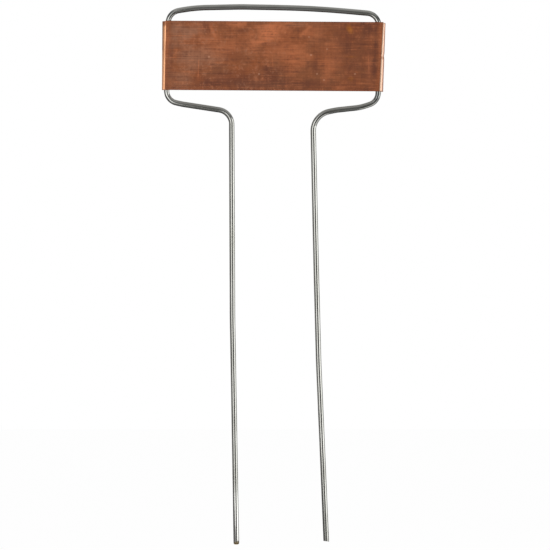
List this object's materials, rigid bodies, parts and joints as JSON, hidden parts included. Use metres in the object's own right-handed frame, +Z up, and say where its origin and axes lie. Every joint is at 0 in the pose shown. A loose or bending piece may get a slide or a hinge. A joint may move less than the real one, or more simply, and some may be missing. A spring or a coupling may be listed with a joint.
{
  "type": "plant label stake",
  "caption": "Plant label stake: long wire legs push into the soil, and the bent wire head carries a plain copper label plate by its rolled hems.",
  "frame": {"origin": "on the soil line, in the plane of the wire, under the middle of the plate", "axes": "+Z up along the stake, -Y out of the plate's face, +X to the right seen from the front"},
  "size_m": [0.0904, 0.0036, 0.2186],
  "materials": {
    "wire": "galvanised drawn wire, dull grey with fine drawing lines",
    "copper": "aged copper sheet, brown-red, brushed lengthwise and lightly mottled"
  },
  "bodies": {
    "stake": {"wire_stake": "wire"},
    "plate": {"label_plate": "copper"}
  },
  "joints": [
    {"name": "plate_slide", "type": "slide", "parent": "stake", "child": "plate", "axis": [0.0162, 0, 0.9999], "range_m": [-0.0023, 0.0007]}
  ]
}
